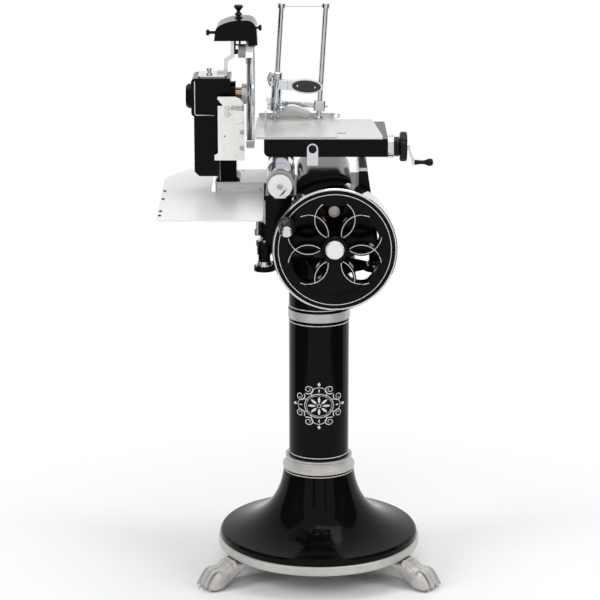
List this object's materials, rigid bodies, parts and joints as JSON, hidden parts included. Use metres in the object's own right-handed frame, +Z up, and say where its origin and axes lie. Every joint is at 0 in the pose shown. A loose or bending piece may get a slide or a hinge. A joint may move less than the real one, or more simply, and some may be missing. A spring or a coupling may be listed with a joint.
{
  "type": "hand crank meat slicer",
  "caption": "Hand cranked flywheel meat slicer on a cast pedestal with claw feet, round blade, sliding carriage and meat clamp.",
  "frame": {"origin": "on the floor under the column's axis", "axes": "+Z up, -Y towards the operator who faces the flywheel, -X towards the blade"},
  "size_m": [0.7176, 0.7055, 1.484],
  "materials": {
    "black_enamel": "glossy black stove enamel",
    "silver_casting": "satin silver casting",
    "chrome": "polished chrome plate",
    "steel": "brushed steel",
    "blade_steel": "ground blade steel",
    "plate_steel": "polished stainless plate",
    "cream_enamel": "cream enamel",
    "cast_iron": "plain machined iron",
    "black_grip": "glossy black moulded grip",
    "stone": "abrasive stone",
    "bronze": "bearing bronze"
  },
  "bodies": {
    "stand": {"claw_feet": "silver_casting", "stand_bolts": "steel", "base_ring": "silver_casting", "pedestal_base": "black_enamel", "column_bands": "silver_casting", "column_tube": "black_enamel", "stand_head": "black_enamel", "foot_cups": "chrome", "machine_base": "black_enamel", "shaft_bushes": "bronze", "slide_bar": "chrome", "slide_bar_caps": "steel", "slide_bar_supports": "silver_casting", "guide_rail": "steel", "deck_plate": "plate_steel", "drive_chain": "steel", "blade_housing": "black_enamel", "housing_cap": "black_enamel", "housing_top_plate": "chrome", "blade_guard": "chrome", "slice_deflector": "cream_enamel", "deflector_bracket": "chrome", "slice_tray": "cream_enamel", "tray_bracket": "steel", "sharpener_cover": "black_enamel", "sharpener_post": "silver_casting"},
    "flywheel": {"flywheel": "black_enamel", "flywheel_rim_band": "chrome", "flywheel_hub_cap": "steel", "flywheel_shaft": "steel", "drive_gear": "cast_iron", "handle_pin": "chrome"},
    "hand_grip": {"flywheel_grip": "black_grip"},
    "lay_shaft": {"lay_shaft": "steel"},
    "cross_shaft": {"cross_shaft": "steel"},
    "blade": {"blade_shaft": "steel", "slicing_blade": "blade_steel", "blade_hub": "steel"},
    "sharpener_knob": {"sharpener_knob": "black_grip"},
    "grinding_unit": {"grinding_knob": "chrome", "grinding_stone": "stone"},
    "honing_unit": {"honing_knob": "black_grip", "honing_stone": "stone"},
    "carriage": {"carriage_body": "black_enamel", "carriage_top": "plate_steel", "carriage_runners": "chrome", "dial_ring": "chrome"},
    "rail_roller": {"rail_roller": "steel"},
    "thickness_wheel": {"thickness_wheel": "black_grip"},
    "feed_screw": {"feed_screw": "chrome"},
    "crank_grip": {"feed_crank_grip": "black_grip"},
    "release_lever": {"release_lever": "chrome", "release_knob": "black_grip"},
    "table": {"meat_table": "plate_steel", "clamp_rods": "chrome"},
    "clamp": {"clamp_slider": "chrome", "toothed_plate": "chrome", "clamp_handle": "chrome", "handle_scales": "black_grip"},
    "lock_lever": {"lock_lever": "chrome"}
  },
  "joints": [
    {"name": "flywheel_spin", "type": "hinge", "parent": "stand", "child": "flywheel", "pos_m": [0.036, -0.2, 0.916], "axis": [0, 1, 0], "continuous": true},
    {"name": "hand_grip_spin", "type": "hinge", "parent": "flywheel", "child": "hand_grip", "pos_m": [-0.08091, -0.3, 0.9835], "axis": [0, 1, 0], "continuous": true},
    {"name": "lay_shaft_spin", "type": "hinge", "parent": "stand", "child": "lay_shaft", "pos_m": [0.036, -0.05, 0.988], "axis": [0, 1, 0], "continuous": true},
    {"name": "cross_shaft_spin", "type": "hinge", "parent": "stand", "child": "cross_shaft", "pos_m": [-0.1, 0.08, 0.988], "axis": [1, 0, 0], "continuous": true},
    {"name": "blade_spin", "type": "hinge", "parent": "stand", "child": "blade", "pos_m": [-0.168, 0, 1.26], "axis": [1, 0, 0], "continuous": true},
    {"name": "sharpener_knob_turn", "type": "hinge", "parent": "stand", "child": "sharpener_knob", "pos_m": [-0.202, 0, 1.451], "axis": [0, 0, 1], "range_deg": [0, 360]},
    {"name": "grinding_press", "type": "slide", "parent": "stand", "child": "grinding_unit", "axis": [1, 0, 0], "range_m": [0, 0.012], "stiffness_N_per_m": 120},
    {"name": "honing_press", "type": "slide", "parent": "stand", "child": "honing_unit", "axis": [-1, 0, 0], "range_m": [0, 0.0012], "stiffness_N_per_m": 120},
    {"name": "carriage_slide", "type": "slide", "parent": "stand", "child": "carriage", "axis": [0, 1, 0], "range_m": [-0.1, 0.1]},
    {"name": "rail_roller_spin", "type": "hinge", "parent": "carriage", "child": "rail_roller", "pos_m": [0.107, 0, 1.1093], "axis": [1, 0, 0], "continuous": true},
    {"name": "table_feed", "type": "slide", "parent": "carriage", "child": "table", "axis": [1, 0, 0], "range_m": [0, 0.11]},
    {"name": "feed_screw_spin", "type": "hinge", "parent": "carriage", "child": "feed_screw", "pos_m": [0, -0.06, 1.137], "axis": [1, 0, 0], "continuous": true},
    {"name": "crank_grip_spin", "type": "hinge", "parent": "feed_screw", "child": "crank_grip", "pos_m": [0.26, -0.06, 1.097], "axis": [1, 0, 0], "continuous": true},
    {"name": "thickness_dial", "type": "hinge", "parent": "carriage", "child": "thickness_wheel", "pos_m": [0.2, -0.06, 1.137], "axis": [1, 0, 0], "range_deg": [0, 300]},
    {"name": "release_lever_turn", "type": "hinge", "parent": "carriage", "child": "release_lever", "pos_m": [-0.018, -0.127, 1.143], "axis": [0, 1, 0], "range_deg": [-35, 35]},
    {"name": "clamp_slide", "type": "slide", "parent": "table", "child": "clamp", "axis": [0.061, 0, 0.9981], "range_m": [0, 0.15]},
    {"name": "lock_lever_turn", "type": "hinge", "parent": "clamp", "child": "lock_lever", "pos_m": [-0.09795, 0.098, 1.20748], "axis": [0, 1, 0], "range_deg": [-30, 0]}
  ],
  "couplings": [
    {"joint": "lay_shaft_spin", "follows": "flywheel_spin", "ratio": -2},
    {"joint": "cross_shaft_spin", "follows": "flywheel_spin", "ratio": 2},
    {"joint": "blade_spin", "follows": "flywheel_spin", "ratio": 4},
    {"joint": "rail_roller_spin", "follows": "carriage_slide", "rad_per_m": -111.11},
    {"joint": "feed_screw_spin", "follows": "table_feed", "rad_per_m": 785.4}
  ]
}
